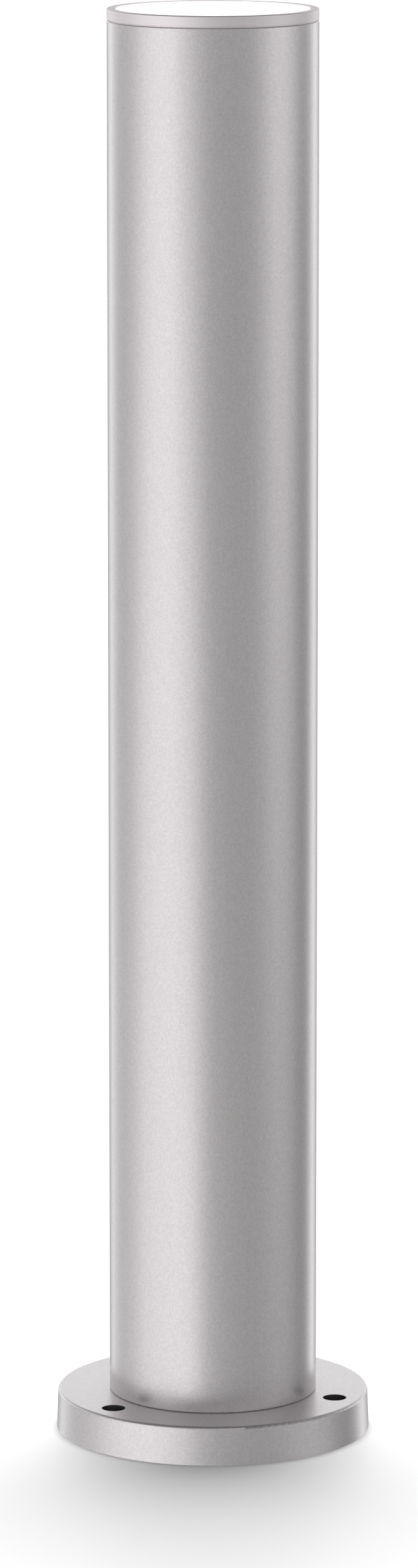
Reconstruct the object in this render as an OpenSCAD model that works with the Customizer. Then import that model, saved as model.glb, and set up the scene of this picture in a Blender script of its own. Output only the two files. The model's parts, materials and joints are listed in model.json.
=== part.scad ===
// Bollard light: a lacquered aluminium tube on a cast flange, closed by a ring with an opal lens.
// Light engine and gear tray hang from the ring and draw out of the tube's top as one head.
// Millimetres. Origin at the centre of the flange's underside, +Z up, front towards -Y.

/* [Post] */
// Height from the ground to the top of the ring
total_h = 550; // [430:5:900]
// Outer diameter of the tube and of the top ring
tube_d = 80; // [76:1:120]
// Wall of the tube
tube_wall = 3; // [2.5:0.1:3.6]
// Outer diameter of the screw channels inside the tube
channel_d = 8; // [7:0.2:8.6]

/* [Base flange] */
// How far the flange stands out from the tube
flange_ledge = 20; // [18:0.5:40]
// Thickness of the flange
flange_h = 15; // [12:0.5:25]
// How much the flange's radius grows from its top to its underside
flange_draft = 0.6; // [0:0.1:1]
// Rounding of the flange's top edge
flange_edge_r = 1; // [0.4:0.1:2]
// Height of the hub that locates the tube
hub_h = 16; // [12:1:24]
// Thickness of the web that closes the hub
web_t = 4; // [3:0.5:6]
// Diameter of the cable pocket under the web
pocket_d = 46; // [34:1:48]

/* [Anchors] */
// Number of anchor holes
anchor_count = 3; // [3:1:6]
// Distance of the anchor holes' centres from the tube's face
anchor_offset = 10; // [8.5:0.5:13]
// Diameter of the anchor holes
anchor_hole_d = 9; // [7:0.5:10.5]
// Width of the sealing ring under the flange
gasket_w = 3.6; // [2:0.1:4]

/* [Top ring and lens] */
// Height of the ring's visible band
ring_h = 4; // [3.4:0.1:10]
// Width of the ring's top face
ring_lip = 3; // [2:0.1:4]
// Rounding of the ring's top edge
ring_edge_r = 0.4; // [0.3:0.1:1.5]
// Height of the shadow joint between ring and tube
joint_h = 0.5; // [0.3:0.1:1.5]
// Depth of the shadow joint
joint_depth = 0.8; // [0.4:0.1:1.4]
// How far the lens lies below the ring's top
lens_recess = 0.2; // [0:0.1:1]

/* [Light engine] */
// Height of the carrier that slides in the tube
carrier_h = 22.5; // [21:0.5:36]
// Wall of the carrier round the light well
carrier_wall = 7.3; // [7:0.1:9]
// Height of the cooling fins
fin_h = 25; // [10:1:40]
// Number of cooling fins
fin_count = 7; // [3:1:7]

/* [Gear tray] */
// Length of the tray below the heat sink
tray_len = 250; // [245:5:330]
// Length of the driver's case
driver_len = 140; // [80:1:145]
// Width of the driver's case
driver_w = 34; // [28:1:37]

/* [Hidden] */
$fn = 96;
eps = 0.01;        // overlap of two shapes that are joined
cut = 1;           // overshoot of a cut past the face it opens

// clearances
slide_clear = 0.2; // radial play of what slides into the tube
thread_clear = 0.05; // radial play of a screw in its tapped hole
bolt_clear = 0.2;  // radial play of a screw in a plain hole
seat_clear = 0.1;  // play of a soft or loose piece in its seat

// colours
lacquer = [0.72, 0.71, 0.71];
bare_metal = [0.80, 0.81, 0.82];
steel = [0.62, 0.62, 0.62];
brass = [0.78, 0.62, 0.30];
rubber = [0.09, 0.09, 0.09];
nylon = [0.13, 0.13, 0.14];
opal = [0.97, 0.97, 0.95];

// tube and flange
tube_r = tube_d / 2;
tube_ir = tube_r - tube_wall;
tube_z1 = total_h - ring_h - joint_h;
tube_chamfer = 0.3;                    // chamfer of the tube's two ends
flange_r = tube_r + flange_ledge;
head_r = tube_ir - slide_clear;
hub_z1 = flange_h + hub_h;
web_z0 = hub_z1 - web_t;
channel_r = channel_d / 2;
channel_bite = 0.4;                    // how far a channel sinks into the tube's wall
channel_pos = tube_ir - channel_r + channel_bite;
channel_angles = [30, 150, 270];
channel_free = channel_pos - channel_r; // radius that stays free between the channels
anchor_r = tube_r + anchor_offset;
anchor_first = 90;                     // angle of the first anchor hole, at the back
gasket_out = anchor_r - anchor_hole_d / 2 - 1.2;
gasket_t = 2;

// M5 countersunk screws from below into the channels
m5_r = 2.25;
m5_head_r = 4.7;
m5_head_h = 2.7;
m5_sink = 0.3;                         // how deep the head lies below the underside
m5_grip = 20;                          // length held in the channel
m5_key = 3;                            // across the flats of the socket

// M20 cable gland
gland_r = 9.9;
gland_flat = 24;                       // width across flats
gland_bore_r = 6.2;
gland_neck_r = 8.8;
gland_neck_h = 8;
gland_collar_h = 5;
gland_washer_t = 1;
gland_washer_w = 2.6;
gland_lock_h = 4;
gland_nut_drop = 7;                    // from the neck's end down to the nut's lower face
gland_nut_gap = 0.5;                   // between the nut's upper face and the collar
gland_mouth_r = gland_bore_r + 0.4;
gland_seat_h = 4.1;                    // height of the cone that squeezes the seal
gland_thread_end = 1;                  // thread that stands out of the locknut
gland_chamfer = 16;                    // size of the 45 degree cone that rounds the nut's corners
seal_h = 4;
seal_edge = 0.6;                       // how far the seal stays inside the neck's radius
cable_r = 4.5;
gland_collar_z = web_z0 - gland_washer_t - gland_collar_h;
gland_neck_z = gland_collar_z - gland_neck_h;

// earth stud
stud_r = 2.4;
stud_depth = 10;
stud_top = 12;
stud_tip = 0.3;                        // free depth under the stud
earth_washer_r = 5;
earth_nut_flat = 8;
earth_nut_h = 4;
stud_pos = (pocket_d / 2 + head_r) / 2;
earth_washer_t = 1;

// top ring and lens
ring_z0 = tube_z1 + joint_h;
spigot_h = 4;
lens_bore_r = tube_r - ring_lip;
lens_clear = 0.3;
lens_edge_r = 0.4;
seal_t = 0.5;
seal_w = 3.2;

// carrier and light well
carrier_z1 = tube_z1 - spigot_h;
carrier_z0 = carrier_z1 - carrier_h;
carrier_floor = 4;
deck_z = carrier_z0 + carrier_floor;
well_r = head_r - carrier_wall;
ledge_in = well_r + 0.5;
oring_r = 0.9;
oring_pos = head_r + seat_clear - oring_r;
oring_z = carrier_z1 - 2;
m3_r = 1.5;
m3_head_r = 2.75;
m3_head_h = 2.6;
m3_key = 2.5;                          // across the flats of the socket
key_share = 0.6;                       // depth of a socket, as a share of its head or short screw
ring_screw_pos = well_r + 3.1;
ring_screw_bite = 3;
lock_z = carrier_z0 + 7;
lock_r = 2.4;
lock_sink = 0.2;                       // how deep the lock screw's end lies in the tube's wall
lock_len = tube_r - lock_sink - head_r - seat_clear; // the screw's point stays just clear of the head

// light source
pad_t = 0.4;
board_t = 1.6;
board_r = well_r - 1.5;
board_z0 = deck_z + pad_t;
board_z1 = board_z0 + board_t;
board_screw_pos = board_r - 6;
board_screw_angles = [90, 210, 330];
board_screw_len = 4.6;
board_screw_head_h = 1.8;
board_tap = 3.2;                       // depth of the board screws' holes in the carrier
chip = 3;
chip_h = 0.7;
chip_outer = board_screw_pos - 5.5;
chip_inner = chip_outer - 6.6;
reflector_foot = 1;                    // width and height of the foot that stands on the board
reflector_t = 0.9;
lead_y = 9.5;
lead_hole_r = 3;
grommet_wall = 0.7;
grommet_flange = 1.4;
grommet_flange_t = 1;
connector = [6, 5, 3.5];
lead_r = 0.9;
lead_gap = 1.3;                        // each lead's distance from the middle

// heat sink
sink_r = channel_free - 0.9;
sink_base = 4;
sink_screw_bite = 2.8;
sink_z0 = carrier_z0 - sink_base;
fin_t = 1.5;
fin_pitch = 4.5;
fin_first_y = 3.5;
sink_screws_at = [[20.5, lead_y], [-20.5, lead_y], [0, -17]];
sink_screw_room = 0.6;                 // gap between a screw's head and the fins
channel_drop = 4;                      // how far the channels end below the carrier
channel_z1 = carrier_z0 - channel_drop;

// gear tray, in front of its plate everything faces -Y
sheet = 1.5;
tray_w = 42;
tray_y = 14;                           // front face of the plate
tray_neck_w = 24;
tray_side_d = 8;
tray_z0 = sink_z0 - tray_len;
tray_side_z1 = sink_z0 - fin_h - 4;
tray_screw_bite = 2.6;
tab_d = 11;
tray_screw_x = 8;
tray_screw_y = tray_y + 6;
lug_len = 8;
lug_t = 3;
driver_z1 = tray_side_z1 - lug_len - 3;
driver_z0 = driver_z1 - driver_len;
driver_d = 21;
driver_screw_x = 10;
pole_pitch = 10;
terminal = [30, 15, 18];
terminal_z1 = driver_z0 - lug_len - 9;
terminal_z0 = terminal_z1 - terminal[2];
terminal_y = tray_y - 8;               // middle of the wire wells
wire_well_r = 1.7;
wire_r = 1.1;
terminal_screw_r = 1.6;
terminal_screw_z = [terminal_z0 + 4, terminal_z1 - 4];
fixing_sink = 3;                       // how deep the fixings' heads lie in the block
lug_ring_t = 0.8;
clamp = [28, 11, 8];
clamp_z0 = tray_z0 + 9;
clamp_screw_x = 9.5;

// ---------- shared shapes ----------

// a ring of rectangular section
module ring(r_out, r_in, z0, h) {
    translate([0, 0, z0]) difference() {
        cylinder(r = r_out, h = h);
        translate([0, 0, -eps]) cylinder(r = r_in, h = h + 2 * eps);
    }
}

// copies of the children at a radius, one at each angle
module around(radius, angles) {
    for (a = angles) rotate([0, 0, a]) translate([radius, 0, 0]) children();
}

// hexagonal prism, given across its flats
module hexagon(flat, h) {
    cylinder(r = flat / sqrt(3), h = h, $fn = 6);
}

// socket head screw: the head's seat lies at z = 0 and the shank runs up
module cap_screw(r, len, head_r, head_h, key) {
    difference() {
        union() {
            cylinder(r = r, h = len);
            translate([0, 0, -head_h]) cylinder(r = head_r, h = head_h);
        }
        translate([0, 0, -head_h - eps]) hexagon(key, head_h * key_share);
    }
}

module m3_screw(len) {
    cap_screw(m3_r, len, m3_head_r, m3_head_h, m3_key);
}

// an M3 screw that enters the tray's plate from the front, its head's seat at y
module tray_wall_screw(x, y, z) {
    translate([x, y, z]) rotate([-90, 0, 0]) m3_screw(tray_y + sheet - y);
}

// rectangle with rounded corners, centred
module rounded_rect(w, d, r) {
    union() {
        square([w - 2 * r, d], center = true);
        square([w, d - 2 * r], center = true);
        for (x = [-1, 1], y = [-1, 1])
            translate([x * (w / 2 - r), y * (d / 2 - r)]) circle(r = r);
    }
}

// a point on the smooth curve through b and c, with a and d before and after them
function smooth(a, b, c, d, t) =
    0.5 * (2 * b + (c - a) * t + (2 * a - 5 * b + 4 * c - d) * t * t
           + (3 * b - a - 3 * c + d) * t * t * t);
function at(p, i) = p[max(0, min(len(p) - 1, i))];
function route(p, steps) = concat(
    [for (i = [0 : len(p) - 2], s = [0 : steps - 1])
        smooth(at(p, i - 1), at(p, i), at(p, i + 1), at(p, i + 2), s / steps)],
    [p[len(p) - 1]]);
function unit(v) = v / norm(v);

// round lead along a route that never runs along X
module lead(points, r, steps = 5, sides = 8) {
    path = route(points, steps);
    last = len(path) - 1;
    skin = [for (i = [0 : last])
        let (t = unit(at(path, i + 1) - at(path, i - 1)),
             u = unit(cross(t, [1, 0, 0])),
             v = cross(t, u))
        for (k = [0 : sides - 1])
            path[i] + r * (cos(360 * k / sides) * u + sin(360 * k / sides) * v)];
    walls = [for (i = [0 : last - 1], k = [0 : sides - 1])
        let (n = (k + 1) % sides)
        [i * sides + k, (i + 1) * sides + k, (i + 1) * sides + n, i * sides + n]];
    ends = [[for (k = [0 : sides - 1]) k],
            [for (k = [sides - 1 : -1 : 0]) last * sides + k]];
    polyhedron(points = skin, faces = concat(walls, ends), convexity = 4);
}

// ---------- base ----------

module base_flange() color(lacquer) difference() {
    union() {
        rotate_extrude() difference() {
            polygon([[0, 0], [flange_r + flange_draft, 0], [flange_r, flange_h], [0, flange_h]]);
            translate([flange_r - flange_edge_r, flange_h - flange_edge_r]) difference() {
                square(flange_edge_r + cut);
                circle(r = flange_edge_r);
            }
        }
        difference() {
            translate([0, 0, flange_h - eps]) cylinder(r = head_r, h = hub_h + eps);
            around(channel_pos, channel_angles)
                translate([0, 0, flange_h]) cylinder(r = channel_r + bolt_clear, h = hub_h + 1);
        }
    }
    translate([0, 0, -eps]) cylinder(d = pocket_d, h = web_z0 + eps);
    translate([0, 0, web_z0 - 1]) cylinder(r = gland_r + seat_clear, h = web_t + 2);
    for (i = [0 : anchor_count - 1]) rotate([0, 0, anchor_first + 360 * i / anchor_count])
        translate([anchor_r, 0, -1]) cylinder(d = anchor_hole_d, h = flange_h + 2);
    around(channel_pos, channel_angles) union() {
        translate([0, 0, -1]) cylinder(r = m5_r + bolt_clear, h = flange_h + 2);
        translate([0, 0, m5_sink]) cylinder(r1 = m5_head_r + seat_clear, r2 = m5_r + seat_clear,
                                            h = m5_head_h);
        translate([0, 0, -1]) cylinder(r = m5_head_r + seat_clear, h = m5_sink + 1 + eps);
    }
    ring(gasket_out + seat_clear, gasket_out - gasket_w - seat_clear, -eps, gasket_t + eps);
    rotate([0, 0, 90]) translate([stud_pos, 0, hub_z1 - stud_depth])
        cylinder(r = stud_r + thread_clear, h = stud_depth + 1);
}

module base_gasket() color(rubber)
    ring(gasket_out, gasket_out - gasket_w, 0, gasket_t);

module base_screws() color(steel) around(channel_pos, channel_angles) difference() {
    translate([0, 0, m5_sink]) union() {
        cylinder(r1 = m5_head_r, r2 = m5_r, h = m5_head_h);
        cylinder(r = m5_r, h = flange_h + m5_grip - m5_sink);
    }
    translate([0, 0, m5_sink - eps]) hexagon(m5_key, m5_head_h * key_share);
}

// ---------- post ----------

// the extrusion's section, with its screw channels or with them milled away
module tube_section(channels) difference() {
    union() {
        difference() {
            circle(r = tube_r);
            circle(r = tube_ir);
        }
        if (channels) around(channel_pos, channel_angles) circle(r = channel_r);
    }
    if (channels) around(channel_pos, channel_angles) circle(r = m5_r + thread_clear);
}

// what the chamfer round the tube's lower end takes away
module end_chamfer() rotate_extrude()
    polygon([[tube_r - tube_chamfer, 0], [tube_r - tube_chamfer, -cut], [tube_r + cut, -cut],
             [tube_r + cut, tube_chamfer], [tube_r, tube_chamfer]]);

module post_tube() color(lacquer) difference() {
    union() {
        translate([0, 0, flange_h]) linear_extrude(height = channel_z1 - flange_h) tube_section(true);
        translate([0, 0, channel_z1]) linear_extrude(height = tube_z1 - channel_z1) tube_section(false);
    }
    translate([0, tube_ir - 2, lock_z]) rotate([-90, 0, 0])
        cylinder(r = lock_r + thread_clear, h = tube_wall + 4);
    translate([0, 0, tube_z1]) mirror([0, 0, 1]) end_chamfer();
    translate([0, 0, flange_h]) end_chamfer();
}

module lock_screw() color(steel) difference() {
    translate([0, head_r + seat_clear, lock_z]) rotate([-90, 0, 0]) cylinder(r = lock_r, h = lock_len);
    translate([0, tube_r - lock_sink - lock_len * key_share, lock_z]) rotate([-90, 30, 0])
        hexagon(m3_key, lock_len * key_share + cut);
}

// ---------- cable gland and earth ----------

module gland_body() color(nylon) difference() {
    union() {
        translate([0, 0, gland_neck_z]) cylinder(r = gland_neck_r, h = gland_neck_h + eps);
        translate([0, 0, gland_collar_z]) hexagon(gland_flat, gland_collar_h);
        translate([0, 0, gland_collar_z]) cylinder(
            r = gland_r, h = hub_z1 + gland_lock_h + gland_thread_end - gland_collar_z);
    }
    translate([0, 0, gland_neck_z - cut]) cylinder(r = gland_bore_r, h = hub_z1);
}

module gland_washer() color(rubber)
    ring(gland_r + gland_washer_w, gland_r + seat_clear, web_z0 - gland_washer_t, gland_washer_t);

module gland_locknut() color(nylon) translate([0, 0, hub_z1]) difference() {
    hexagon(gland_flat, gland_lock_h);
    translate([0, 0, -cut]) cylinder(r = gland_r + thread_clear, h = gland_lock_h + 2 * cut);
}

module gland_seal() color(rubber) rotate_extrude() polygon([
    [cable_r, gland_neck_z - seal_h], [gland_bore_r, gland_neck_z - seal_h],
    [gland_neck_r - seal_edge, gland_neck_z - seal_edge], [gland_neck_r - seal_edge, gland_neck_z],
    [cable_r, gland_neck_z]]);

module gland_nut() color(nylon) translate([0, 0, gland_neck_z]) difference() {
    translate([0, 0, -gland_nut_drop]) intersection() {
        hexagon(gland_flat, gland_nut_drop + gland_neck_h - gland_nut_gap);
        cylinder(r1 = gland_neck_r, r2 = gland_neck_r + gland_chamfer, h = gland_chamfer);
    }
    translate([0, 0, -gland_nut_gap]) cylinder(r = gland_neck_r + slide_clear, h = gland_neck_h + cut);
    translate([0, 0, -gland_nut_gap - gland_seat_h]) cylinder(
        r1 = gland_mouth_r, r2 = gland_neck_r + slide_clear, h = gland_seat_h + eps);
    translate([0, 0, -gland_nut_drop - cut]) cylinder(r = gland_mouth_r, h = gland_nut_drop);
}

module at_stud() {
    rotate([0, 0, 90]) translate([stud_pos, 0, 0]) children();
}

module earth_stud() color(brass) at_stud()
    translate([0, 0, hub_z1 - stud_depth + stud_tip]) cylinder(r = stud_r, h = stud_depth + stud_top);

module earth_washer() color(steel) at_stud()
    ring(earth_washer_r, stud_r + seat_clear, hub_z1, earth_washer_t);

module earth_nut() color(brass) at_stud() translate([0, 0, hub_z1 + earth_washer_t]) difference() {
    hexagon(earth_nut_flat, earth_nut_h);
    translate([0, 0, -cut]) cylinder(r = stud_r + thread_clear, h = earth_nut_h + 2 * cut);
}

// ---------- top ring and lens ----------

module top_ring() color(lacquer) difference() {
    rotate_extrude() difference() {
        union() {
            translate([0, ring_z0]) square([tube_r, ring_h]);
            translate([0, tube_z1]) square([tube_r - joint_depth, joint_h + eps]);
            translate([0, carrier_z1]) square([head_r, spigot_h + eps]);
        }
        translate([tube_r - ring_edge_r, total_h - ring_edge_r]) difference() {
            square(ring_edge_r + 1);
            circle(r = ring_edge_r);
        }
        translate([-1, ring_z0]) square([lens_bore_r + 1, ring_h + 1]);
        translate([-1, carrier_z1 - 1]) square([ledge_in + 1, spigot_h + joint_h + 2]);
    }
    around(ring_screw_pos, channel_angles)
        translate([0, 0, carrier_z1 - cut])
            cylinder(r = m3_r + thread_clear, h = ring_screw_bite + seal_t + cut);
}

module lens_seal() color(rubber)
    ring(lens_bore_r - lens_clear, lens_bore_r - lens_clear - seal_w, ring_z0, seal_t);

module top_lens() color(opal) rotate_extrude() difference() {
    translate([0, ring_z0 + seal_t])
        square([lens_bore_r - lens_clear, ring_h - seal_t - lens_recess]);
    translate([lens_bore_r - lens_clear - lens_edge_r, total_h - lens_recess - lens_edge_r])
        difference() {
        square(lens_edge_r + cut);
        circle(r = lens_edge_r);
    }
}

// ---------- light engine ----------

module head_carrier() color(bare_metal) difference() {
    translate([0, 0, carrier_z0]) cylinder(r = head_r, h = carrier_h);
    translate([0, 0, deck_z]) cylinder(r = well_r, h = carrier_h);
    ring(head_r + 1, oring_pos - oring_r - thread_clear, oring_z - oring_r - seat_clear,
         2 * (oring_r + seat_clear));
    around(ring_screw_pos, channel_angles)
        translate([0, 0, carrier_z0 - 1]) cylinder(r = m3_r + bolt_clear, h = carrier_h + 2);
    around(board_screw_pos, board_screw_angles)
        translate([0, 0, deck_z - board_tap]) cylinder(r = m3_r + thread_clear, h = board_tap + cut);
    for (p = sink_screws_at) translate([p[0], p[1], carrier_z0 - cut])
        cylinder(r = m3_r + thread_clear, h = sink_screw_bite + cut + slide_clear);
    translate([0, lead_y, carrier_z0 - cut]) cylinder(r = lead_hole_r, h = carrier_floor + 2 * cut);
}

module head_oring() color(rubber)
    rotate_extrude() translate([oring_pos, oring_z]) circle(r = oring_r);

module ring_screws() color(steel) around(ring_screw_pos, channel_angles)
    translate([0, 0, carrier_z0]) m3_screw(carrier_h + ring_screw_bite);

// cuts for the leads and the board's screws, through pad and board
module board_holes() {
    through = pad_t + board_t + 2 * cut;
    translate([0, lead_y, deck_z - cut]) cylinder(r = lead_hole_r, h = through);
    around(board_screw_pos, board_screw_angles)
        translate([0, 0, deck_z - cut]) cylinder(r = m3_r + bolt_clear, h = through);
}

module thermal_pad() color([0.55, 0.57, 0.60]) difference() {
    translate([0, 0, deck_z]) cylinder(r = board_r - seat_clear, h = pad_t);
    board_holes();
}

module led_board() color([0.95, 0.95, 0.95]) difference() {
    translate([0, 0, board_z0]) cylinder(r = board_r, h = board_t);
    board_holes();
}

// twelve chips on the outer circle and five on the inner one, whose sixth place is the lead hole
module led_chips() color([0.96, 0.83, 0.25]) {
    around(chip_outer, [for (i = [0 : 11]) 15 + 30 * i]) one_chip();
    around(chip_inner, [for (i = [0 : 5]) if (i != 1) 30 + 60 * i]) one_chip();
}

module one_chip() {
    translate([-chip / 2, -chip / 2, board_z1]) cube([chip, chip, chip_h]);
}

module board_screws() color(steel) around(board_screw_pos, board_screw_angles)
    translate([0, 0, board_z1]) mirror([0, 0, 1])
        cap_screw(m3_r, board_screw_len, m3_head_r, board_screw_head_h, m3_key);

module board_connector() color(opal) difference() {
    translate([-connector[0] / 2, 0, board_z1]) cube(connector);
    for (x = [-1, 1]) translate([x * lead_gap, connector[1] - 2, board_z1 + connector[2] / 2])
        rotate([-90, 0, 0]) cylinder(r = lead_r + seat_clear, h = 3);
}

module reflector_ring() color(opal) {
    foot_out = well_r - slide_clear;
    foot_in = foot_out - reflector_foot - reflector_t;
    top = carrier_z1 - slide_clear;
    rotate_extrude() polygon([
        [foot_in, board_z1], [foot_out, board_z1],
        [foot_out, board_z1 + reflector_foot], [foot_in + reflector_t, board_z1 + reflector_foot],
        [foot_out, top], [foot_out - reflector_t, top]]);
}

module lead_grommet() color(rubber) translate([0, lead_y, 0]) {
    bore = lead_hole_r - seat_clear - grommet_wall;
    union() {
        ring(lead_hole_r - seat_clear, bore, sink_z0 - eps, sink_base + carrier_floor);
        ring(lead_hole_r + grommet_flange, bore, sink_z0 - grommet_flange_t, grommet_flange_t);
    }
}

module heat_sink() color(bare_metal) difference() {
    union() {
        translate([0, 0, sink_z0]) cylinder(r = sink_r, h = sink_base);
        intersection() {
            translate([0, 0, sink_z0 - fin_h]) cylinder(r = sink_r, h = fin_h + eps);
            for (i = [0 : fin_count - 1])
                translate([-sink_r, fin_first_y - fin_t / 2 - i * fin_pitch, sink_z0 - fin_h])
                    cube([2 * sink_r, fin_t, fin_h + eps]);
        }
    }
    for (p = sink_screws_at) translate([p[0], p[1], 0]) {
        translate([0, 0, sink_z0 - cut]) cylinder(r = m3_r + bolt_clear, h = sink_base + 2 * cut);
        translate([0, 0, sink_z0 - fin_h - cut]) cylinder(r = m3_head_r + sink_screw_room, h = fin_h + cut);
    }
    for (x = [-1, 1]) translate([x * tray_screw_x, tray_screw_y, sink_z0 - cut])
        cylinder(r = m3_r + thread_clear, h = tray_screw_bite + cut + slide_clear);
    translate([0, lead_y, sink_z0 - cut]) cylinder(r = lead_hole_r, h = sink_base + 2 * cut);
}

module sink_screws() color(steel)
    for (p = sink_screws_at) translate([p[0], p[1], sink_z0]) m3_screw(sink_base + sink_screw_bite);

// ---------- gear tray ----------

module gear_tray() color(bare_metal) difference() {
    union() {
        translate([-tray_w / 2, tray_y, tray_z0]) cube([tray_w, sheet, tray_side_z1 - tray_z0]);
        translate([-tray_neck_w / 2, tray_y, tray_side_z1 - eps])
            cube([tray_neck_w, sheet, sink_z0 - tray_side_z1 + eps]);
        translate([-tray_neck_w / 2, tray_y, sink_z0 - sheet]) cube([tray_neck_w, tab_d, sheet]);
        for (x = [-tray_w / 2, tray_w / 2 - sheet])
            translate([x, tray_y - tray_side_d, tray_z0])
                cube([sheet, tray_side_d + eps, tray_side_z1 - tray_z0]);
    }
    for (x = [-1, 1]) translate([x * tray_screw_x, tray_screw_y, sink_z0 - sheet - 1])
        cylinder(r = m3_r + bolt_clear, h = sheet + 2);
    for (p = [[-driver_screw_x, driver_z1 + lug_len / 2], [driver_screw_x, driver_z0 - lug_len / 2],
              [-pole_pitch / 2, terminal_z0 + terminal[2] / 2],
              [pole_pitch / 2, terminal_z0 + terminal[2] / 2],
              [-clamp_screw_x, clamp_z0 + clamp[2] / 2], [clamp_screw_x, clamp_z0 + clamp[2] / 2]])
        translate([p[0], tray_y - 1, p[1]]) rotate([-90, 0, 0])
            cylinder(r = m3_r + thread_clear, h = sheet + 2);
}

module tray_screws() color(steel) for (x = [-1, 1])
    translate([x * tray_screw_x, tray_screw_y, sink_z0 - sheet]) m3_screw(sheet + tray_screw_bite);

module driver() color([0.90, 0.90, 0.88]) difference() {
    union() {
        translate([0, tray_y - driver_d / 2, driver_z0])
            linear_extrude(height = driver_len) rounded_rect(driver_w, driver_d, 2);
        translate([-driver_w / 2 + 2, tray_y - lug_t, driver_z0 - lug_len])
            cube([driver_w - 4, lug_t, driver_len + 2 * lug_len]);
    }
    for (p = [[-driver_screw_x, driver_z1 + lug_len / 2], [driver_screw_x, driver_z0 - lug_len / 2]])
        translate([p[0], tray_y - lug_t - 1, p[1]]) rotate([-90, 0, 0])
            cylinder(r = m3_r + bolt_clear, h = lug_t + 2);
}

module driver_screws() color(steel) {
    tray_wall_screw(-driver_screw_x, tray_y - lug_t, driver_z1 + lug_len / 2);
    tray_wall_screw(driver_screw_x, tray_y - lug_t - lug_ring_t, driver_z0 - lug_len / 2);
}

module terminal_block() color([0.93, 0.92, 0.88]) difference() {
    translate([-terminal[0] / 2, tray_y - terminal[1], terminal_z0]) cube(terminal);
    for (i = [-1 : 1]) translate([i * pole_pitch, terminal_y, terminal_z0 - 1])
        cylinder(r = wire_well_r, h = terminal[2] + 2);
    for (i = [-1 : 1], z = terminal_screw_z)
        translate([i * pole_pitch, tray_y - terminal[1] - 1, z]) rotate([-90, 0, 0])
            cylinder(r = terminal_screw_r + seat_clear, h = terminal_y - tray_y + terminal[1] + 1);
    for (x = [-1, 1]) translate([x * pole_pitch / 2, tray_y - terminal[1] - 1,
                                 terminal_z0 + terminal[2] / 2]) rotate([-90, 0, 0]) union() {
        cylinder(r = m3_r + bolt_clear, h = terminal[1] + 2);
        cylinder(r = m3_head_r + seat_clear, h = 1 + fixing_sink);
    }
}

module terminal_screws() color(brass) for (i = [-1 : 1], z = terminal_screw_z)
    translate([i * pole_pitch, tray_y - terminal[1] + 1, z]) difference() {
        rotate([-90, 0, 0]) cylinder(r = terminal_screw_r, h = terminal_y - wire_well_r
                                                              - tray_y + terminal[1] - 1);
        translate([-3, -1, -0.25]) cube([6, 1.8, 0.5]);
    }

module terminal_fixings() color(steel) for (x = [-1, 1])
    tray_wall_screw(x * pole_pitch / 2, tray_y - terminal[1] + fixing_sink,
                    terminal_z0 + terminal[2] / 2);

module cable_clamp() color(nylon) difference() {
    translate([-clamp[0] / 2, tray_y - clamp[1], clamp_z0]) cube(clamp);
    translate([0, tray_y - cable_r - 0.3, clamp_z0 - 1]) cylinder(r = cable_r + seat_clear, h = clamp[2] + 2);
    for (x = [-1, 1]) translate([x * clamp_screw_x, tray_y - clamp[1] - 1, clamp_z0 + clamp[2] / 2])
        rotate([-90, 0, 0]) cylinder(r = m3_r + bolt_clear, h = clamp[1] + 2);
}

module clamp_screws() color(steel) for (x = [-1, 1])
    tray_wall_screw(x * clamp_screw_x, tray_y - clamp[1], clamp_z0 + clamp[2] / 2);

// ---------- leads ----------

// from the driver's top end through the grommet and over into the board's connector
module led_leads() color([0.70, 0.10, 0.08]) {
    top_z = board_z1 + connector[2] / 2;
    for (x = [-1, 1]) lead([
        [x * lead_gap, lead_y, driver_z1],
        [x * lead_gap, lead_y, driver_z1 + 12],
        [x * lead_gap, lead_y, sink_z0 + 2],
        [x * lead_gap, lead_y, top_z - 2.2],
        [x * lead_gap, lead_y - 0.7, top_z - 0.7],
        [x * lead_gap, lead_y - 2.2, top_z],
        [x * lead_gap, connector[1] - 1.8, top_z]], lead_r);
}

// live and neutral, from the terminals up into the driver
module mains_leads() color([0.35, 0.20, 0.12]) for (p = [[-1, -4], [0, 0]]) lead([
    [p[0] * pole_pitch, terminal_y, terminal_z1 - 2.4],
    [p[0] * pole_pitch, terminal_y, terminal_z1 + 2],
    [(p[0] * pole_pitch + p[1]) / 2, terminal_y - 3, (terminal_z1 + driver_z0) / 2],
    [p[1], terminal_y - 2, driver_z0 - 3],
    [p[1], terminal_y - 2, driver_z0 - seat_clear]], wire_r);

// from the earth terminal up to the lug under the driver's lower screw
module earth_lead() color([0.45, 0.60, 0.12]) lead([
    [pole_pitch, terminal_y, terminal_z1 - 2.4],
    [pole_pitch, terminal_y, terminal_z1 + 1],
    [pole_pitch, terminal_y + 1, terminal_z1 + 3],
    [pole_pitch, tray_y - lug_t - lug_ring_t - 0.6, driver_z0 - lug_len - 3]], wire_r);

module earth_lug() color(brass) {
    y0 = tray_y - lug_t - lug_ring_t;
    z = driver_z0 - lug_len / 2;
    difference() {
        translate([driver_screw_x, y0, z]) rotate([-90, 0, 0]) cylinder(r = 3.4, h = lug_ring_t);
        translate([driver_screw_x, y0 - 1, z]) rotate([-90, 0, 0])
            cylinder(r = m3_r + bolt_clear, h = 4);
    }
}

base_flange();
base_gasket();
base_screws();
post_tube();
gland_body();
gland_washer();
gland_locknut();
gland_seal();
gland_nut();
earth_stud();
earth_washer();
earth_nut();
lock_screw();
top_ring();
lens_seal();
top_lens();
head_carrier();
head_oring();
ring_screws();
thermal_pad();
led_board();
led_chips();
board_screws();
board_connector();
reflector_ring();
lead_grommet();
heat_sink();
sink_screws();
gear_tray();
tray_screws();
driver();
driver_screws();
terminal_block();
terminal_screws();
terminal_fixings();
cable_clamp();
clamp_screws();
led_leads();
mains_leads();
earth_lead();
earth_lug();
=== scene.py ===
import json
import math

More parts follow.
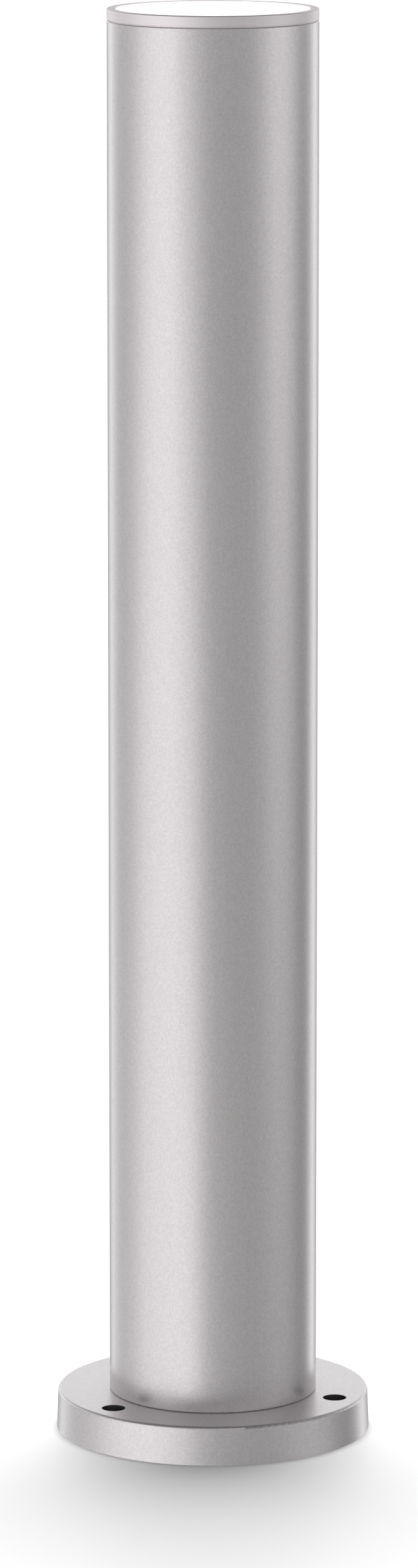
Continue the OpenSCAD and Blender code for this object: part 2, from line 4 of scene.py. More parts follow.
import bmesh
import bpy
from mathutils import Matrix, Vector


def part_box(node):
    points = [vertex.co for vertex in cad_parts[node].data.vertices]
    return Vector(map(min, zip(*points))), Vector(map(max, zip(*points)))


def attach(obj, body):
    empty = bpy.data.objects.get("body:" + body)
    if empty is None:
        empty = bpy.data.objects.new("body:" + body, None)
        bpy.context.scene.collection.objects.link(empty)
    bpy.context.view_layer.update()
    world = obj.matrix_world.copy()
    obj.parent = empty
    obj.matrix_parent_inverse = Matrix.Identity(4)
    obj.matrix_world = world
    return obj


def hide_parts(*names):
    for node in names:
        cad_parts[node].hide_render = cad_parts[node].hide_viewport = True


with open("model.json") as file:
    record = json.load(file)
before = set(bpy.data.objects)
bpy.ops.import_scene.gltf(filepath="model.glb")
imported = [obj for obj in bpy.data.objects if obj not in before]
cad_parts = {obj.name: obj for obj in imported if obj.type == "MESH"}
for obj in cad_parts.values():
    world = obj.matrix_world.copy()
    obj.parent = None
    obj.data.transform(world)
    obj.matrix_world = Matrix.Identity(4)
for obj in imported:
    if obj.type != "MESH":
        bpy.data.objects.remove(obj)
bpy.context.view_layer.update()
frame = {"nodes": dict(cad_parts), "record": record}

MM = 0.001
nodes = frame["nodes"]


# ---------- making materials ----------

def linear(hex_colour):
    """An sRGB hex colour as linear RGBA."""
    channels = [int(hex_colour[i:i + 2], 16) / 255 for i in (0, 2, 4)]
    curve = [c / 12.92 if c <= 0.04045 else ((c + 0.055) / 1.055) ** 2.4 for c in channels]
    return (*curve, 1.0)


def two_tone(dark, light, low=0.0, high=1.0):
    """The stops of a ramp from a dark colour at low to a light one at high."""
    return (low, linear(dark)), (high, linear(light))


def add(tree, kind, settings=None, links=None):
    """Adds a node to a tree: settings go to its ramp's stops, properties or sockets, and links run into its
    sockets."""
    node = tree.nodes.new(kind)
    for name, value in (settings or {}).items():
        if name == "stops":
            elements = node.color_ramp.elements
            while len(elements) < len(value):
                elements.new(0.5)
            for element, (position, colour) in zip(elements, value):
                element.position = position
                element.color = colour
        elif isinstance(name, str) and hasattr(node, name):
            setattr(node, name, value)
        else:
            node.inputs[name].default_value = value
    for name, socket in (links or {}).items():
        tree.links.new(socket, node.inputs[name])
    return node


def new_material(name):
    material = bpy.data.materials.new(name)
    material.use_nodes = True
    material.node_tree.nodes.clear()
    return material, material.node_tree


def distance_from(tree, place, x, y):
    """How far a point is from the upright line through x, y."""
    offset = add(tree, "ShaderNodeVectorMath", {"operation": "SUBTRACT", 1: (x, y, 0.0)}, {0: place})
    level = add(tree, "ShaderNodeVectorMath", {"operation": "MULTIPLY", 1: (1.0, 1.0, 0.0)},
                {0: offset.outputs["Vector"]})
    length = add(tree, "ShaderNodeVectorMath", {"operation": "LENGTH"}, {0: level.outputs["Vector"]})
    return length.outputs["Value"]


# ---------- lacquer and bare metals ----------

drilled = next(m for m in frame["record"]["mounts"] if m["name"] == "anchor_holes")["dims"]
ANCHOR_HOLE_R = drilled["hole_r_mm"]
ANCHOR_HOLES = [(drilled["pcd_mm"] / 2 * math.cos(a), drilled["pcd_mm"] / 2 * math.sin(a))
                for a in (math.pi / 2 + 2 * math.pi * k / drilled["count"] for k in range(drilled["count"]))]
HOLE_SHADE_DEPTH = 0.05              # how far the painted shade of a hole's wall reaches past the wall
HOLE_SHADE_FADE = 0.1
LACQUER_FROM = 37.1             # just outside the tube's bore, where the sprayed skin starts
LACQUER_FULL = 37.7


def silver_lacquer():
    """Metallic lacquer sprayed on aluminium: fine flakes that sparkle a little, under a soft clear coat.
    The inside of the tube, the hub and the drilled anchor holes were never sprayed: they are bare and dull,
    and the anchor holes' walls are painted darker still, as painted shade inside the holes."""
    material, tree = new_material("silver_lacquer_sprayed")
    place = add(tree, "ShaderNodeTexCoord").outputs["Object"]
    flake_size = 0.55 * MM      # real flakes are far finer; this is the smallest clump that shows
    flakes = add(tree, "ShaderNodeTexVoronoi", {"Scale": 1 / flake_size}, {"Vector": place})
    peel_size = 2.6 * MM        # the gentle waves that spraying leaves
    peel = add(tree, "ShaderNodeTexNoise", {"Scale": 1 / peel_size, "Detail": 3.0}, {"Vector": place})
    sprayed = add(tree, "ShaderNodeValToRGB", {"stops": two_tone("C4BFC0", "D2CFD0")},
                  {"Fac": flakes.outputs["Color"]})
    bare = add(tree, "ShaderNodeValToRGB", {"stops": two_tone("97989A", "ABACAE", 0.35, 0.65)},
               {"Fac": peel.outputs["Fac"]})
    # The anchor holes' walls: bare metal painted darker, as painted shade inside the holes
    hole_shade = add(tree, "ShaderNodeValToRGB", {"stops": two_tone("6A6866", "7C7A78", 0.35, 0.65)},
                  {"Fac": peel.outputs["Fac"]})
    outside = add(tree, "ShaderNodeMapRange", {"From Min": LACQUER_FROM * MM, "From Max": LACQUER_FULL * MM},
                  {"Value": distance_from(tree, place, 0.0, 0.0)})
    tint = add(tree, "ShaderNodeMix", {"data_type": "RGBA"},
               {0: outside.outputs["Result"], 6: bare.outputs["Color"], 7: sprayed.outputs["Color"]})
    # Paints shade into each anchor hole: its wall takes the darker colour
    hole_wall = (ANCHOR_HOLE_R + HOLE_SHADE_DEPTH) * MM
    for x, y in ANCHOR_HOLES:
        beyond = add(tree, "ShaderNodeMapRange",
                     {"From Min": hole_wall, "From Max": hole_wall + HOLE_SHADE_FADE * MM},
                     {"Value": distance_from(tree, place, x * MM, y * MM)})
        tint = add(tree, "ShaderNodeMix", {"data_type": "RGBA"},
                   {0: beyond.outputs["Result"], 6: hole_shade.outputs["Color"], 7: tint.outputs[2]})
    gloss = add(tree, "ShaderNodeMapRange", {"To Min": 0.30, "To Max": 0.36}, {"Value": peel.outputs["Fac"]})
    rough = add(tree, "ShaderNodeMapRange", {"To Min": 0.48},
                {"Value": outside.outputs["Result"], "To Max": gloss.outputs["Result"]})
    grit = add(tree, "ShaderNodeBump", {"Strength": 0.12, "Distance": 0.02 * MM},
               {"Height": flakes.outputs["Distance"]})
    skin = add(tree, "ShaderNodeBump", {"Strength": 0.08, "Distance": 0.05 * MM},
               {"Height": peel.outputs["Fac"], "Normal": grit.outputs["Normal"]})
    shader = add(tree, "ShaderNodeBsdfPrincipled",
                 {"Metallic": 0.85, "Coat Weight": 0.2, "Coat Roughness": 0.22},
                 {"Base Color": tint.outputs[2], "Roughness": rough.outputs["Result"],
                  "Normal": skin.outputs["Normal"]})
    add(tree, "ShaderNodeOutputMaterial", {}, {"Surface": shader.outputs["BSDF"]})
    return material


def turned_metal(name, dark, light, line_width, rough_low, rough_high, relief):
    """A metal turned on a lathe: fine uneven lines that run round the post's axis."""
    material, tree = new_material(name)
    place = add(tree, "ShaderNodeTexCoord").outputs["Object"]
    split = add(tree, "ShaderNodeSeparateXYZ", {}, {"Vector": place})
    tool_path = add(tree, "ShaderNodeMath", {"operation": "ADD"},
                    {0: distance_from(tree, place, 0.0, 0.0), 1: split.outputs["Z"]})
    lines = add(tree, "ShaderNodeTexNoise",
                {"noise_dimensions": "1D", "Scale": 1 / line_width, "Detail": 2.0},
                {"W": tool_path.outputs["Value"]})
    tint = add(tree, "ShaderNodeValToRGB", {"stops": two_tone(dark, light, 0.3, 0.7)},
               {"Fac": lines.outputs["Fac"]})
    rough = add(tree, "ShaderNodeMapRange", {"To Min": rough_low, "To Max": rough_high},
                {"Value": lines.outputs["Fac"]})
    grooves = add(tree, "ShaderNodeBump", {"Strength": relief, "Distance": 0.02 * MM},
                  {"Height": lines.outputs["Fac"]})
    shader = add(tree, "ShaderNodeBsdfPrincipled", {"Metallic": 1.0},
                 {"Base Color": tint.outputs["Color"], "Roughness": rough.outputs["Result"],
                  "Normal": grooves.outputs["Normal"]})
    add(tree, "ShaderNodeOutputMaterial", {}, {"Surface": shader.outputs["BSDF"]})
    return material


def grained_metal(name, dark, light, grain, rough_low, rough_high, relief):
    """A metal whose grain has its size along X, Y and Z: long for rolled sheet, even for a cast skin."""
    material, tree = new_material(name)
    place = add(tree, "ShaderNodeTexCoord").outputs["Object"]
    stretched = add(tree, "ShaderNodeMapping", {"Scale": tuple(1 / size for size in grain)},
                    {"Vector": place})
    streaks = add(tree, "ShaderNodeTexNoise", {"Scale": 1.0, "Detail": 3.0},
                  {"Vector": stretched.outputs["Vector"]})
    smudge_size = 14 * MM       # faint stains from handling
    smudges = add(tree, "ShaderNodeTexNoise", {"Scale": 1 / smudge_size, "Detail": 2.0}, {"Vector": place})
    tint = add(tree, "ShaderNodeValToRGB", {"stops": two_tone(dark, light, 0.3, 0.7)},
               {"Fac": streaks.outputs["Fac"]})
    rough = add(tree, "ShaderNodeMapRange",
                {"From Min": 0.35, "From Max": 0.65, "To Min": rough_low, "To Max": rough_high},
                {"Value": smudges.outputs["Fac"]})
    grooves = add(tree, "ShaderNodeBump", {"Strength": relief, "Distance": 0.03 * MM},
                  {"Height": streaks.outputs["Fac"]})
    shader = add(tree, "ShaderNodeBsdfPrincipled", {"Metallic": 1.0},
                 {"Base Color": tint.outputs["Color"], "Roughness": rough.outputs["Result"],
                  "Normal": grooves.outputs["Normal"]})
    add(tree, "ShaderNodeOutputMaterial", {}, {"Surface": shader.outputs["BSDF"]})
    return material


# ---------- plastics, rubber and the lens ----------

def moulded(name, dark, light, grain, rough_low, rough_high, relief, feel):
    """A moulded plastic or rubber: the melt's slow flow in its colour, the mould's fine grain in its gloss
    and surface. The material's own settings, such as its IOR, come in feel."""
    material, tree = new_material(name)
    place = add(tree, "ShaderNodeTexCoord").outputs["Object"]
    mould = add(tree, "ShaderNodeTexNoise", {"Scale": 1 / grain, "Detail": 3.0}, {"Vector": place})
    flow_size = 9 * MM          # slow changes where the melt ran in
    flow = add(tree, "ShaderNodeTexNoise", {"Scale": 1 / flow_size, "Detail": 1.0}, {"Vector": place})
    tint = add(tree, "ShaderNodeValToRGB", {"stops": two_tone(dark, light, 0.3, 0.7)},
               {"Fac": flow.outputs["Fac"]})
    rough = add(tree, "ShaderNodeMapRange",
                {"From Min": 0.3, "From Max": 0.7, "To Min": rough_low, "To Max": rough_high},
                {"Value": mould.outputs["Fac"]})
    skin = add(tree, "ShaderNodeBump", {"Strength": relief, "Distance": 0.05 * MM},
               {"Height": mould.outputs["Fac"]})
    shader = add(tree, "ShaderNodeBsdfPrincipled", feel,
                 {"Base Color": tint.outputs["Color"], "Roughness": rough.outputs["Result"],
                  "Normal": skin.outputs["Normal"]})
    add(tree, "ShaderNodeOutputMaterial", {}, {"Surface": shader.outputs["BSDF"]})
    return material


def extruded_sleeve(colour, dark, light):
    """PVC extruded round a lead's strands: smooth and slightly glossy."""
    return moulded("pvc_extruded_" + colour, dark, light, 0.7 * MM, 0.30, 0.40, 0.15, {"IOR": 1.53})


def opal_acrylic():
    """Opal acrylic lit from behind: an even white glow, a hair softer towards the rim, under a glossy face
    with the faint ripple of cast sheet."""
    material, tree = new_material("opal_acrylic_polished")
    place = add(tree, "ShaderNodeTexCoord").outputs["Object"]
    outward = add(tree, "ShaderNodeMapRange", {"From Min": 20 * MM, "From Max": 37 * MM},
                  {"Value": distance_from(tree, place, 0.0, 0.0)})
    glow = add(tree, "ShaderNodeValToRGB", {"stops": two_tone("FFFFFB", "F0F0EA")},
               {"Fac": outward.outputs["Result"]})
    ripple_size = 6 * MM
    ripple = add(tree, "ShaderNodeTexNoise", {"Scale": 1 / ripple_size, "Detail": 1.0}, {"Vector": place})
    body = add(tree, "ShaderNodeValToRGB", {"stops": two_tone("F2F2EF", "F6F6F3", 0.3, 0.7)},
               {"Fac": ripple.outputs["Fac"]})
    skin = add(tree, "ShaderNodeBump", {"Strength": 0.05, "Distance": 0.05 * MM},
               {"Height": ripple.outputs["Fac"]})
    shader = add(tree, "ShaderNodeBsdfPrincipled",
                 {"Roughness": 0.18, "IOR": 1.49, "Emission Strength": 0.35},
                 {"Base Color": body.outputs["Color"], "Emission Color": glow.outputs["Color"],
                  "Normal": skin.outputs["Normal"]})
    add(tree, "ShaderNodeOutputMaterial", {}, {"Surface": shader.outputs["BSDF"]})
    return material


finishes = {
    "silver_lacquer": silver_lacquer(),
    # The ring is turned and anodised, softer than the lacquer with lines round it; its lighter tint is
    # painted light
    "satin_anodised": turned_metal("aluminium_turned_anodised_painted_lighter", "DED8DA", "EAE5E6",
                                   0.35 * MM, 0.46, 0.54, 0.15),
    # The carrier is only turned: brighter, with a coarser tool path
    "turned_aluminium": turned_metal("aluminium_turned", "B4B6B9", "CFD1D4", 0.5 * MM, 0.26, 0.38, 0.35),
    # Rolled sheet: straight streaks along its length
    "rolled_aluminium": grained_metal("aluminium_rolled_sheet", "A9ABAE", "C3C5C8",
                                      (0.4 * MM, 0.4 * MM, 40 * MM), 0.30, 0.42, 0.25),
    # Die-cast skin: dull and faintly pebbled
    "cast_aluminium": grained_metal("aluminium_die_cast", "9C9EA1", "B2B4B7",
                                    (0.8 * MM, 0.8 * MM, 0.8 * MM), 0.42, 0.55, 0.5),
    # Cold-headed stainless steel, tumbled: small soft marks
    "stainless": grained_metal("stainless_steel_tumbled", "9A9894", "B4B2AE",
                               (0.5 * MM, 0.5 * MM, 0.5 * MM), 0.24, 0.36, 0.2),
    # Machined brass that has begun to dull
    "brass": grained_metal("brass_machined", "A8813C", "D2AC60",
                           (0.6 * MM, 0.6 * MM, 0.6 * MM), 0.26, 0.40, 0.2),
    # Moulded EPDM rubber: dull, with a powdery grain
    "black_rubber": moulded("epdm_rubber_moulded", "161616", "222222", 0.5 * MM, 0.68, 0.82, 0.4,
                            {"IOR": 1.5}),
    # Silicone: milky, slightly waxy
    "clear_silicone": moulded("silicone_moulded", "CFCFC8", "DCDCD6", 0.8 * MM, 0.42, 0.52, 0.15,
                              {"IOR": 1.41, "Subsurface Weight": 0.2, "Subsurface Scale": 1.5 * MM}),
    # Nylon from a spark-eroded mould: fine matt grain
    "black_nylon": moulded("nylon_moulded_black", "1B1B1D", "28282A", 0.45 * MM, 0.42, 0.58, 0.5,
                           {"IOR": 1.53}),
    # White polyamide: matt, a touch translucent
    "white_nylon": moulded("polyamide_moulded_white", "DBDAD3", "E6E5DF", 0.45 * MM, 0.40, 0.54, 0.4,
                           {"IOR": 1.53, "Subsurface Weight": 0.1, "Subsurface Scale": 1.0 * MM}),
    # Solder resist: glossy white ink, slightly uneven
    "white_resist": moulded("solder_resist_white", "DEDED8", "EAEAE5", 1.2 * MM, 0.22, 0.34, 0.25,
                            {"IOR": 1.5}),
    # Phosphor in silicone: granular yellow
    "phosphor": moulded("phosphor_cast", "D9A92A", "EFC548", 0.3 * MM, 0.45, 0.6, 0.5, {"IOR": 1.45}),
    # Filled silicone pad: chalky grey
    "thermal_pad": moulded("gap_pad_pressed", "8B8F96", "9A9EA4", 0.5 * MM, 0.7, 0.85, 0.4, {"IOR": 1.42}),
    "red_pvc": extruded_sleeve("red", "9C1A18", "B02320"),
    "black_pvc": extruded_sleeve("black", "1A1A1B", "262627"),
    "brown_pvc": extruded_sleeve("brown", "4A2C1A", "5A3722"),
    "blue_pvc": extruded_sleeve("blue", "1D4C8C", "265A9E"),
    "green_pvc": extruded_sleeve("green", "2E7A32", "388C3C"),
    "yellow_pvc": extruded_sleeve("yellow", "D8B91E", "E6C830"),
    "opal_acrylic": opal_acrylic(),
}

# Bare aluminium looks different by how each piece was made
made_otherwise = {"head_carrier": "turned_aluminium", "gear_tray": "rolled_aluminium",
                  "heat_sink": "cast_aluminium"}
for subpart in frame["record"]["subparts"]:
    materials = nodes[subpart["node"]].data.materials
    materials.clear()
    finish = made_otherwise.get(subpart["node"], subpart["material_slot"])
    if finish in finishes:      # the earth lead has none here: a striped lead takes its place below
        materials.append(finishes[finish])


# ---------- wiring ----------

def smooth_route(points, steps):
    """Points on a smooth curve through the given ones."""
    ends = [points[0], *points, points[-1]]
    route = []
    for a, b, c, d in zip(ends, ends[1:], ends[2:], ends[3:]):
        for step in range(steps):
            t = step / steps
            route.append(0.5 * (2 * b + (c - a) * t + (2 * a - 5 * b + 4 * c - d) * t * t
                                + (3 * b - a - 3 * c + d) * t ** 3))
    return route + [points[-1]]


LEAD_SIDES = 16
STRIPE_EVERY, STRIPE_SIDES = 8, 3       # two stripes on opposite sides of a lead, each three sides wide


def make_lead(name, points, radius, cover, stripe=None):
    """A round insulated lead along a route in millimetres. A second material can run along it as a stripe."""
    route = smooth_route([Vector(p) * MM for p in points], 8)
    shape = bmesh.new()
    rings = []
    for i, here in enumerate(route):
        way = (route[min(i + 1, len(route) - 1)] - route[max(i - 1, 0)]).normalized()
        across = way.cross(Vector((1, 0, 0))).normalized()
        up = way.cross(across)
        rings.append([shape.verts.new(here + radius * MM * (math.cos(a) * across + math.sin(a) * up))
                      for a in (2 * math.pi * k / LEAD_SIDES for k in range(LEAD_SIDES))])
    for ring, following in zip(rings, rings[1:]):
        for k in range(LEAD_SIDES):
            n = (k + 1) % LEAD_SIDES
            face = shape.faces.new((ring[k], following[k], following[n], ring[n]))
            face.smooth = True
            face.material_index = 1 if stripe and k % STRIPE_EVERY < STRIPE_SIDES else 0
    shape.faces.new(rings[0])
    shape.faces.new(reversed(rings[-1]))
    bmesh.ops.recalc_face_normals(shape, faces=shape.faces)
    mesh = bpy.data.meshes.new(name)
    shape.to_mesh(mesh)
    shape.free()
    mesh.materials.append(finishes[cover])
    if stripe:
        mesh.materials.append(finishes[stripe])
    lead = bpy.data.objects.new(name, mesh)
    bpy.context.scene.collection.objects.link(lead)
    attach(lead, "head")
    return lead


def corners_mm(node):
    """A CAD node's lowest and highest corners in millimetres."""
    low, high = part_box(node)
    return low / MM, high / MM


driver_low, driver_high = corners_mm("driver")
block_low, block_high = corners_mm("terminal_block")
_, sink_high = corners_mm("heat_sink")
plug_low, plug_high = corners_mm("board_connector")
lug_low, _ = corners_mm("earth_lug")
FIXING_LUG = 8                  # how far the driver's fixing lugs stand out at both ends of its case
case_top = driver_high.z - FIXING_LUG
case_foot = driver_low.z + FIXING_LUG
SINK_PLATE = 4                  # thickness of the heat sink's plate, over its fins
sink_base = sink_high.z - SINK_PLATE
POLE_PITCH = 10                 # between the terminal's poles
WIRE_INSET = 2.4                # how far a lead goes into its terminal
wire_y = block_high.y - 8       # the middle of the terminal's poles
LEAD_Y = 9.5                    # where the leads rise through the heat sink
LIGHT_LEAD_R, MAINS_LEAD_R = 0.9, 1.1


def light_source_leads():
    """Red and black, from the driver up through the heat sink to the board's plug."""
    plug_z = (plug_low.z + plug_high.z) / 2
    for x, name, cover in ((-1.3, "lead_red", "red_pvc"), (1.3, "lead_black", "black_pvc")):
        lead = make_lead(name, [
            (x, LEAD_Y, case_top), (x, LEAD_Y, case_top + 12), (x, LEAD_Y, sink_base + 2),
            (x, LEAD_Y, plug_z - 2.2), (x, LEAD_Y - 0.7, plug_z - 0.7), (x, LEAD_Y - 2.2, plug_z),
            (x, plug_high.y - 1.8, plug_z)], LIGHT_LEAD_R, cover)
        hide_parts("led_leads")


def supply_leads():
    """Brown and blue, from the terminal up to the driver."""
    for pole, x, name, cover in ((-1, -4, "lead_brown", "brown_pvc"), (0, 0, "lead_blue", "blue_pvc")):
        start = pole * POLE_PITCH
        lead = make_lead(name, [
            (start, wire_y, block_high.z - WIRE_INSET), (start, wire_y, block_high.z + 2),
            ((start + x) / 2, wire_y - 3, (block_high.z + case_foot) / 2),
            (x, wire_y - 2, case_foot - 3), (x, wire_y - 2, case_foot - 0.1)], MAINS_LEAD_R, cover)
        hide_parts("mains_leads")


def earth_wire():
    """Green and yellow, from the terminal to the earth lug at the driver's foot."""
    lead = make_lead("lead_earth", [
        (POLE_PITCH, wire_y, block_high.z - WIRE_INSET), (POLE_PITCH, wire_y, block_high.z + 1),
        (POLE_PITCH, wire_y + 1, block_high.z + 3),
        (POLE_PITCH, lug_low.y - 0.6, driver_low.z - 3)], MAINS_LEAD_R, "green_pvc", "yellow_pvc")
    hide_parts("earth_lead")


light_source_leads()
supply_leads()
earth_wire()


# ---------- the driver's and the terminal's details ----------

def add_slab(shape, low, high):
    """Adds a closed slab between two corners in millimetres."""
    for v in bmesh.ops.create_cube(shape, size=1.0)["verts"]:
        v.co = Vector([(l + h) / 2 + c * (h - l) for l, h, c in zip(low, high, v.co)]) * MM


def finish_slabs(name, shape, finish, rounding):
    """Turns slabs into one piece with rounded edges, on the head."""
    mesh = bpy.data.meshes.new(name)
    shape.to_mesh(mesh)
    shape.free()
    mesh.materials.append(finishes[finish])
    o = bpy.data.objects.new(name, mesh)
    bpy.context.scene.collection.objects.link(o)
    bevel = o.modifiers.new("rounded", "BEVEL")
    bevel.width = rounding * MM
    bevel.segments = 3
    bevel.limit_method = "ANGLE"
    for polygon in mesh.polygons:
        polygon.use_smooth = True
    o.modifiers.new("flat_faces", "WEIGHTED_NORMAL")
    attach(o, "head")


SUNK = 0.4                      # how far a cover or a wall is let into what carries it
COVER_FROM, COVER_TO = 1.5, 27  # a cover's two ends, from the nearer end of the driver's case
COVER_INSET = 2.4               # from the driver's sides
COVER_PROUD = 0.8
RIB_INSET = 4                   # from the cover's sides
RIB_PROUD = 1.4
RIB_PITCH = 2.2
RIB_HALF = 0.45                 # half of a rib's thickness
PLATE_INSET = 1.5               # from the cover's sides
PLATE_FROM = 33                 # the plate's two ends, from the ends of the driver's case


def driver_covers():
    """The covers over the driver's two terminal ends, each with grip ribs, and the plain plate between."""
    front = driver_low.y
    half = driver_high.x - COVER_INSET
    shape = bmesh.new()
    for foot, top in ((case_foot + COVER_FROM, case_foot + COVER_TO),
                      (case_top - COVER_TO, case_top - COVER_FROM)):
        add_slab(shape, (-half, front - COVER_PROUD, foot), (half, front + SUNK, top))
        middle = (foot + top) / 2
        for k in range(-3, 4):
            add_slab(shape, (-half + RIB_INSET, front - RIB_PROUD, middle + RIB_PITCH * k - RIB_HALF),
                     (half - RIB_INSET, front - 0.6, middle + RIB_PITCH * k + RIB_HALF))
    finish_slabs("driver_covers", shape, "white_nylon", 0.3)
    shape = bmesh.new()
    add_slab(shape, (-half + PLATE_INSET, front - 0.25, case_foot + PLATE_FROM),
             (half - PLATE_INSET, front + 0.2, case_top - PLATE_FROM))
    finish_slabs("driver_plate", shape, "rolled_aluminium", 0.08)


WALL_PROUD = 1.2
WALL_FROM = 0.4                 # from the end of the terminal block to the start of a wall
END_WALL, END_WALL_TO = 0.55, 5.4       # thickness of the outermost walls, and where they end
POLE_WALL, POLE_WALL_TO = 1.0, 4.9      # the same for the walls between the poles


def terminal_ridges():
    """The walls beside and between the terminal's poles, at the foot and at the top of the block."""
    front = block_low.y
    edge = 1.5 * POLE_PITCH
    between = 0.5 * POLE_PITCH
    shape = bmesh.new()
    for left, right, reach in ((-edge, -edge + END_WALL, END_WALL_TO), (edge - END_WALL, edge, END_WALL_TO),
                               (-between - POLE_WALL / 2, -between + POLE_WALL / 2, POLE_WALL_TO),
                               (between - POLE_WALL / 2, between + POLE_WALL / 2, POLE_WALL_TO)):
        for foot, top in ((block_low.z + WALL_FROM, block_low.z + reach),
                          (block_high.z - reach, block_high.z - WALL_FROM)):
            add_slab(shape, (left, front - WALL_PROUD, foot), (right, front + SUNK, top))
    finish_slabs("terminal_ridges", shape, "white_nylon", 0.2)


driver_covers()
terminal_ridges()


# ---------- floor, light and camera ----------

def pale_floor():
    """White paper that runs on past the view."""
    reach = 30.0
    mesh = bpy.data.meshes.new("floor")
    corners = [(-reach, -reach, 0), (reach, -reach, 0), (reach, reach, 0), (-reach, reach, 0)]
    mesh.from_pydata(corners, [], [(0, 1, 2, 3)])
    floor = bpy.data.objects.new("floor", mesh)
    bpy.context.scene.collection.objects.link(floor)
    material, tree = new_material("paper_white")
    shader = add(tree, "ShaderNodeBsdfPrincipled",
                 {"Base Color": linear("F0F0F0"), "Roughness": 0.45, "IOR": 1.35})
    add(tree, "ShaderNodeOutputMaterial", {}, {"Surface": shader.outputs["BSDF"]})
    mesh.materials.append(material)
    floor.visible_glossy = False


CAMERA_AZIMUTH = math.radians(-10.2)

# The studio's soft panels in seven bands of height. Each band has the sine of its height above the horizon,
# then the light's level by the angle round the post in degrees, measured from the camera's side to the right.
BANDS = (
    (-0.24, ((-180, 0.3), (-159, 0.4), (-150, 1.5), (-139, 1.0), (-125, 0.8), (-102, 0.95), (-80, 1.35),
             (-55, 1.35), (-25, 1.8), (-5, 0.9), (12, 0.70), (50, 0.42), (75, 0.34), (97, 0.42), (110, 0.30),
             (128, 0.34), (148, 1.8), (158, 0.4), (180, 0.3))),
    (-0.15, ((-180, 0.3), (-159, 0.4), (-150, 1.6), (-139, 1.0), (-125, 0.60), (-100, 0.75), (-80, 1.2),
             (-55, 1.5), (-28, 1.45), (-8, 0.40), (12, 0.26), (40, 0.26), (57, 0.36), (75, 0.68), (92, 0.56),
             (110, 0.18), (128, 0.20), (148, 1.8), (158, 0.4), (180, 0.3))),
    (-0.08, ((-180, 0.3), (-159, 0.4), (-150, 1.8), (-139, 1.0), (-126, 0.45), (-98, 0.42), (-82, 1.0),
             (-70, 1.6), (-45, 1.6), (-30, 0.38), (-10, 0.20), (10, 0.18), (38, 0.22), (55, 0.75), (70, 1.5),
             (85, 1.4), (98, 0.95), (110, 0.28), (128, 0.32), (148, 1.9), (158, 0.4), (180, 0.3))),
    (0.06, ((-180, 1.6), (-130, 1.6), (-110, 1.0), (-82, 1.4), (-45, 1.8), (-30, 0.85), (-10, 0.6), (10, 0.6),
            (38, 0.75), (55, 1.3), (70, 1.9), (98, 1.5), (110, 0.9), (130, 1.6), (180, 1.6))),
    (0.28, ((-180, 1.15), (-125, 1.0), (-95, 0.8), (-30, 1.05), (0, 1.2), (40, 1.2), (80, 0.15), (125, 0.15),
            (150, 1.1), (180, 1.15))),
    (0.50, ((-180, 0.8), (-100, 0.4), (0, 0.2), (100, 0.4), (180, 0.8))),
    (0.85, ((-180, 0.15), (180, 0.15))),
)
BRIGHTEST = 1.9
BACKDROP = 1.1                  # the plain white that the camera sees


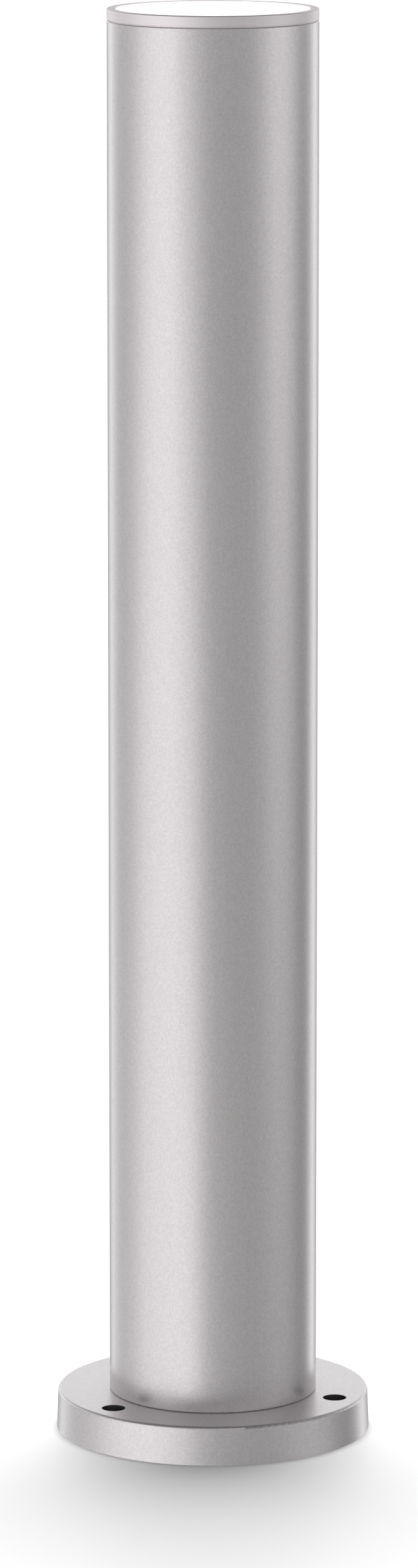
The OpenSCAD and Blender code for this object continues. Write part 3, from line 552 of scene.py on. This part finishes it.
def studio():
    """Soft panels round the post. The camera itself sees only plain white behind it."""
    world = bpy.data.worlds.new("studio")
    bpy.context.scene.world = world
    world.use_nodes = True
    tree = world.node_tree
    tree.nodes.clear()
    place = add(tree, "ShaderNodeTexCoord")
    turned = add(tree, "ShaderNodeVectorRotate", {"rotation_type": "Z_AXIS", "Angle": -CAMERA_AZIMUTH},
                 {"Vector": place.outputs["Generated"]})
    split = add(tree, "ShaderNodeSeparateXYZ", {}, {"Vector": turned.outputs["Vector"]})
    towards = add(tree, "ShaderNodeMath", {"operation": "MULTIPLY", 1: -1.0}, {0: split.outputs["Y"]})
    angle = add(tree, "ShaderNodeMath", {"operation": "ARCTAN2"},
                {0: split.outputs["X"], 1: towards.outputs["Value"]})
    share = add(tree, "ShaderNodeMapRange", {"From Min": -math.pi, "From Max": math.pi},
                {"Value": angle.outputs["Value"]})
    light, last_height = None, None
    for height, levels in BANDS:
        stops = [((degrees + 180) / 360, (*[level / BRIGHTEST] * 3, 1.0)) for degrees, level in levels]
        ring = add(tree, "ShaderNodeValToRGB", {"stops": stops}, {"Fac": share.outputs["Result"]})
        if light is None:
            light = ring.outputs["Color"]
        else:
            rise = add(tree, "ShaderNodeMapRange", {"From Min": last_height, "From Max": height},
                       {"Value": split.outputs["Z"]})
            light = add(tree, "ShaderNodeMix", {"data_type": "RGBA"},
                        {0: rise.outputs["Result"], 6: light, 7: ring.outputs["Color"]}).outputs[2]
        last_height = height
    panels = add(tree, "ShaderNodeBackground", {"Strength": BRIGHTEST}, {"Color": light})
    white = add(tree, "ShaderNodeBackground", {"Color": (1, 1, 1, 1), "Strength": BACKDROP})
    path = add(tree, "ShaderNodeLightPath")
    either = add(tree, "ShaderNodeMixShader", {},
                 {0: path.outputs["Is Camera Ray"], 1: panels.outputs[0], 2: white.outputs[0]})
    add(tree, "ShaderNodeOutputWorld", {}, {"Surface": either.outputs[0]})


def overhead_light():
    """Wide soft light from high up, a little behind the post. It lights the floor evenly and throws a soft
    shadow in front of the foot."""
    light = bpy.data.lights.new("overhead", "SUN")
    light.energy = 3.0
    light.angle = math.radians(24)
    o = bpy.data.objects.new("overhead", light)
    direction = Vector((-0.12, -0.52, -2.0))
    o.rotation_euler = direction.to_track_quat("-Z", "Y").to_euler()
    o.visible_glossy = False
    bpy.context.scene.collection.objects.link(o)


def camera():
    """A long lens in front of the post, a little above its top and looking down."""
    distance = 2.75
    height = 0.762
    pitch = math.radians(10.48)
    sideways = 1.5 * MM         # the post stands a hair right of the middle
    data = bpy.data.cameras.new("camera")
    data.sensor_width = 36
    data.lens = 167.5
    o = bpy.data.objects.new("camera", data)
    towards = Vector((math.sin(CAMERA_AZIMUTH), -math.cos(CAMERA_AZIMUTH), 0))
    right = Vector((math.cos(CAMERA_AZIMUTH), math.sin(CAMERA_AZIMUTH), 0))
    o.location = towards * distance - right * sideways + Vector((0, 0, height))
    look = -towards * math.cos(pitch) - Vector((0, 0, math.sin(pitch)))
    o.rotation_euler = look.to_track_quat("-Z", "Y").to_euler()
    bpy.context.scene.collection.objects.link(o)
    bpy.context.scene.camera = o


pale_floor()
studio()
overhead_light()
camera()
bpy.context.scene.view_settings.view_transform = "Standard"
